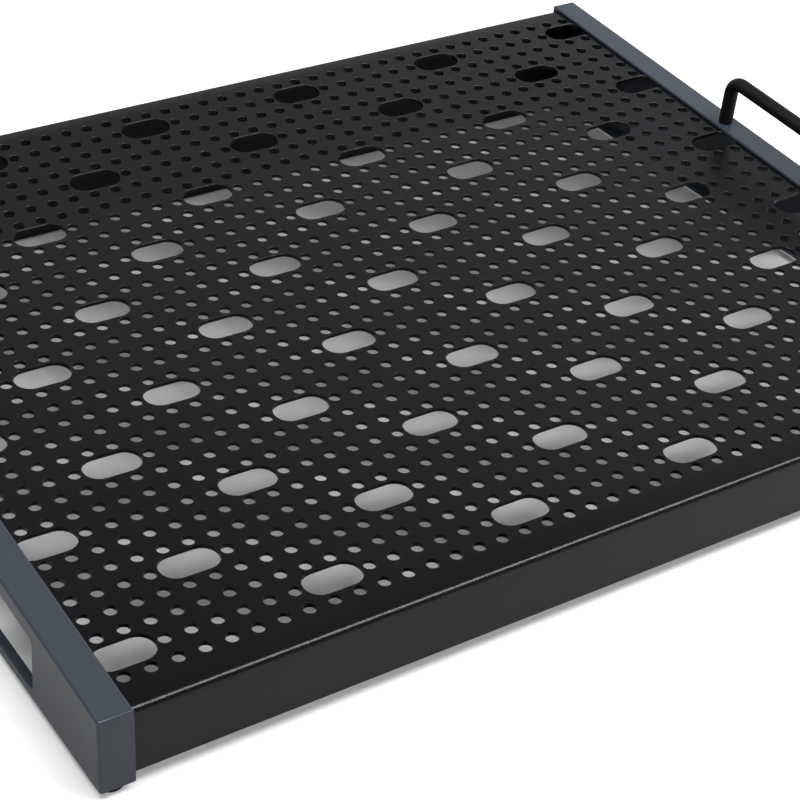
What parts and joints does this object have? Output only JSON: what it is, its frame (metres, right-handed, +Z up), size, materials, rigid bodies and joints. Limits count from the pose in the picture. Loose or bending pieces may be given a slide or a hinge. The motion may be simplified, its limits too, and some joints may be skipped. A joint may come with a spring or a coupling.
{
  "type": "pedalboard",
  "caption": "Tilted pedalboard: perforated sheet deck with cable slots and folded skirts, between two wedge side rails with a window, bar handles and rubber feet.",
  "frame": {"origin": "on the floor under the feet, below the middle of the board", "axes": "+X to the right across the width, +Y to the back, +Z up"},
  "size_m": [0.5334, 0.419, 0.0895],
  "materials": {
    "deck_black": "fine-textured black powder coat",
    "rail_grey": "satin anthracite blue-grey coat",
    "handle_black": "textured black coat",
    "foot_black": "matt black rubber",
    "fastener_steel": "zinc plated"
  },
  "bodies": {
    "root": {"deck_plate": "deck_black", "left_side_rail": "rail_grey", "right_side_rail": "rail_grey", "left_handle": "handle_black", "right_handle": "handle_black", "handle_screw_left_front": "fastener_steel", "handle_screw_left_rear": "fastener_steel", "handle_screw_right_front": "fastener_steel", "handle_screw_right_rear": "fastener_steel", "rail_nut_left_1": "fastener_steel", "rail_nut_left_2": "fastener_steel", "rail_nut_left_3": "fastener_steel", "rail_nut_left_4": "fastener_steel", "rail_nut_right_1": "fastener_steel", "rail_nut_right_2": "fastener_steel", "rail_nut_right_3": "fastener_steel", "rail_nut_right_4": "fastener_steel", "foot_left_front": "foot_black", "foot_left_rear": "foot_black", "foot_right_front": "foot_black", "foot_right_rear": "foot_black", "foot_screw_left_front": "fastener_steel", "foot_screw_left_rear": "fastener_steel", "foot_screw_right_front": "fastener_steel", "foot_screw_right_rear": "fastener_steel", "foot_nut_left_front": "fastener_steel", "foot_nut_left_rear": "fastener_steel", "foot_nut_right_front": "fastener_steel", "foot_nut_right_rear": "fastener_steel"}
  },
  "joints": []
}
